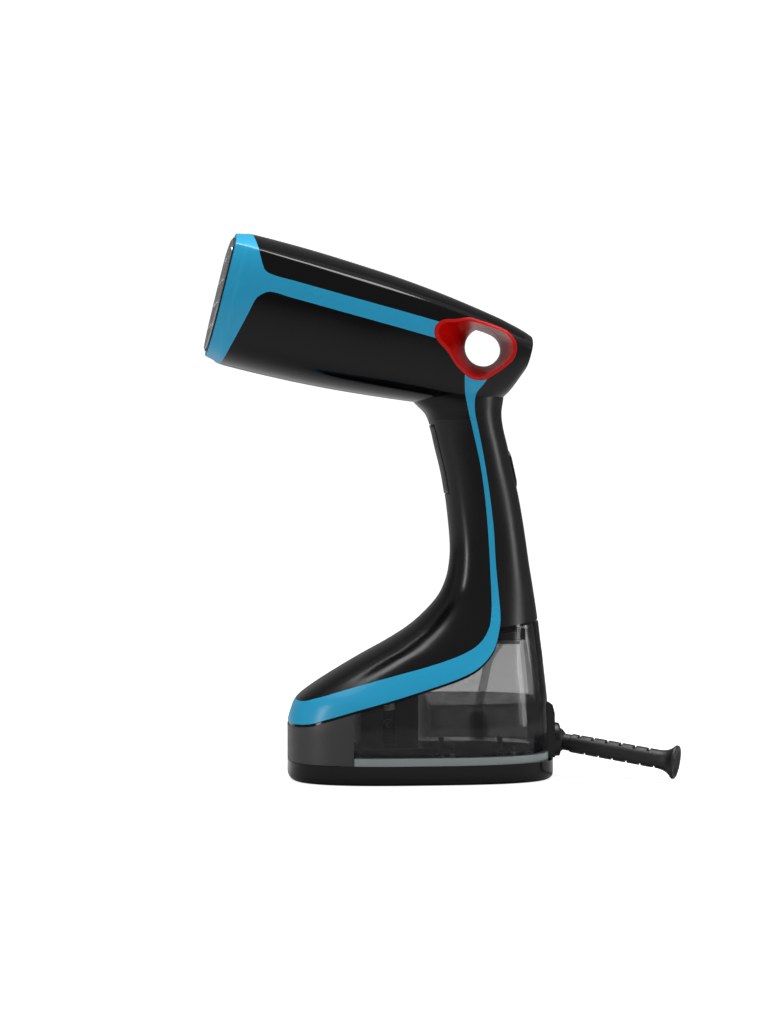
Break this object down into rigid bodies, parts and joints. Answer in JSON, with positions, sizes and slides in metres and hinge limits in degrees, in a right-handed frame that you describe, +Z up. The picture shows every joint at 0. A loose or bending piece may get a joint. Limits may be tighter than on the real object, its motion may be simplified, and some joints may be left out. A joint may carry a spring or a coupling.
{
  "type": "garment steamer",
  "caption": "Hand-held garment steamer that stands on its own water tank, with a steam head, hanging ring, trigger grip and swivel cord outlet.",
  "frame": {"origin": "middle of the base's underside, on the standing surface", "axes": "+X towards the cord outlet, -X towards the steam face, +Y across, +Z up"},
  "size_m": [0.2498, 0.084, 0.2858],
  "materials": {
    "gloss_black": "high-gloss moulded black ABS",
    "satin_black": "satin soft-touch black grip plastic",
    "panel_grey": "fine matt dark grey plastic",
    "blue_trim": "satin-gloss turquoise blue plastic",
    "red_ring": "glossy translucent red plastic",
    "smoke_tank": "smoky clear moulded water tank plastic",
    "steel_plate": "fine brushed stainless steel",
    "cast_metal": "die-cast aluminium",
    "steel_small": "plain steel",
    "rubber_black": "black moulded rubber",
    "silicone": "pale silicone",
    "seal_grey": "pale grey sealing rubber",
    "white_plastic": "natural white plastic",
    "board": "green circuit board"
  },
  "bodies": {
    "housing": {"steam_plate": "steel_plate", "plate_seal": "rubber_black", "front_collar": "blue_trim", "barrel_shell": "gloss_black", "tail_shell": "gloss_black", "roof_panel": "gloss_black", "side_band_left": "gloss_black", "side_band_right": "gloss_black", "ring_left": "red_ring", "ring_right": "red_ring", "boiler": "cast_metal", "heater_tube": "steel_small", "thermostat": "steel_small", "thermal_fuse": "white_plastic", "boiler_screws": "steel_small", "steam_hose": "silicone", "handle_front": "satin_black", "handle_rear": "satin_black", "trim_upper_left": "blue_trim", "trim_upper_right": "blue_trim", "trim_lower": "blue_trim", "trigger_pin": "steel_small", "trigger_spring": "steel_small", "microswitch": "satin_black", "handle_screws": "steel_small", "chassis": "gloss_black", "control_board": "board", "front_panel": "panel_grey", "rear_spine": "satin_black", "pump_cradle": "panel_grey", "pump_body": "steel_small", "water_hose": "silicone"},
    "trigger": {"trigger": "satin_black"},
    "rear_button": {"rear_button": "satin_black"},
    "power_rocker": {"power_rocker": "satin_black"},
    "cord_swivel": {"cord_ball": "rubber_black", "cord_boot": "rubber_black"},
    "pump_plunger": {"pump_plunger": "steel_small"},
    "tank": {"tank_shell": "smoke_tank", "tank_seal": "seal_grey", "base_pan": "gloss_black", "rubber_feet": "rubber_black", "suction_tube": "silicone", "suction_filter": "white_plastic", "valve_seat": "rubber_black", "valve_spring": "steel_small", "pan_screws": "steel_small"},
    "tank_valve": {"tank_valve": "white_plastic"}
  },
  "joints": [
    {"name": "tank_slide", "type": "slide", "parent": "housing", "child": "tank", "axis": [0, 0, -1], "range_m": [0, 0.09]},
    {"name": "tank_valve_slide", "type": "slide", "parent": "tank", "child": "tank_valve", "axis": [0, 0, -1], "range_m": [0, 0.002], "stiffness_N_per_m": 250, "springref_m": -0.002, "deforming": ["valve_spring"]},
    {"name": "trigger_hinge", "type": "hinge", "parent": "housing", "child": "trigger", "pos_m": [0.01247, 0, 0.182], "axis": [0, -1, 0], "range_deg": [0, 7], "stiffness_Nm_per_rad": 0.3, "springref_deg": -8.59},
    {"name": "rear_button_slide", "type": "slide", "parent": "housing", "child": "rear_button", "axis": [-0.9763, 0, -0.2164], "range_m": [0, 0.002], "stiffness_N_per_m": 800, "springref_m": -0.001},
    {"name": "power_rocker_tilt", "type": "hinge", "parent": "housing", "child": "power_rocker", "pos_m": [0.05039, 0, 0.22574], "axis": [0, -1, 0], "range_deg": [0, 6]},
    {"name": "cord_swivel_yaw", "type": "hinge", "parent": "housing", "child": "cord_swivel", "pos_m": [0.071, 0, 0.0188], "axis": [0, 0, 1], "range_deg": [-4, 54]},
    {"name": "pump_stroke", "type": "slide", "parent": "housing", "child": "pump_plunger", "axis": [0, 1, 0], "range_m": [-0.0015, 0.0015], "stiffness_N_per_m": 400}
  ]
}
